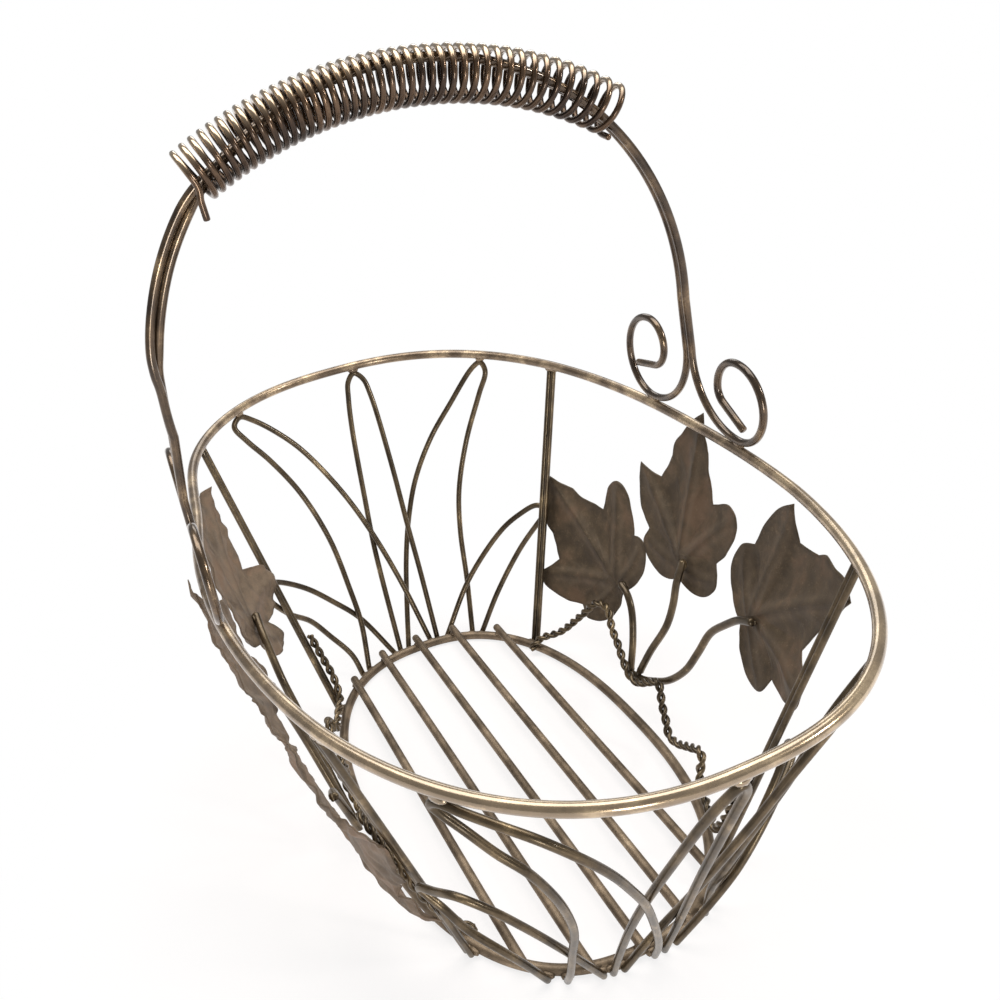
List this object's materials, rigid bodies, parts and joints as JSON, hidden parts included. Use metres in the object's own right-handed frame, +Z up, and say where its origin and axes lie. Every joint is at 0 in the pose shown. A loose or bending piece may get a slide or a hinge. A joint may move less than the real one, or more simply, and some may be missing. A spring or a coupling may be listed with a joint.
{
  "type": "wire fruit basket",
  "caption": "Oval open wire basket with grass blade ends, ivy leaf and twisted vine sides, and an arched carrying handle with a coil grip.",
  "frame": {"origin": "middle of the footprint, on the table the basket stands on", "axes": "+Z up, +Y along the basket's length, +X across it, under the handle"},
  "size_m": [0.1944, 0.3236, 0.27],
  "materials": {
    "hoop": "aged bronze, rubbed to brassy tan on top",
    "wire": "aged bronze, satin",
    "handle": "aged bronze, satin",
    "coil": "aged bronze, satin",
    "leaf": "aged bronze, matt and mottled"
  },
  "bodies": {
    "root": {"rim_hoop": "hoop", "base_hoop": "hoop", "base_bar_1": "wire", "base_bar_2": "wire", "base_bar_3": "wire", "base_bar_4": "wire", "base_bar_5": "wire", "post_far_right_1": "wire", "post_far_right_2": "wire", "post_far_left_1": "wire", "post_far_left_2": "wire", "post_near_left_1": "wire", "post_near_left_2": "wire", "post_near_right_1": "wire", "post_near_right_2": "wire", "blade_far_left_low": "wire", "blade_far_left_tall": "wire", "blade_far_middle": "wire", "blade_far_right_tall": "wire", "blade_far_right_low": "wire", "blade_near_left_low": "wire", "blade_near_left_tall": "wire", "blade_near_middle": "wire", "blade_near_right_tall": "wire", "blade_near_right_low": "wire", "leaf_right_low": "leaf", "leaf_right_middle": "leaf", "leaf_right_high": "leaf", "leaf_left_low": "leaf", "leaf_left_middle": "leaf", "leaf_left_high": "leaf", "stem_right_low": "wire", "stem_right_middle": "wire", "stem_right_high": "wire", "stem_left_low": "wire", "stem_left_middle": "wire", "stem_left_high": "wire", "vine_right_strand_1": "wire", "vine_right_strand_2": "wire", "vine_left_strand_1": "wire", "vine_left_strand_2": "wire", "handle_wire_far": "handle", "handle_wire_near": "handle", "grip_coil": "coil"}
  },
  "joints": []
}
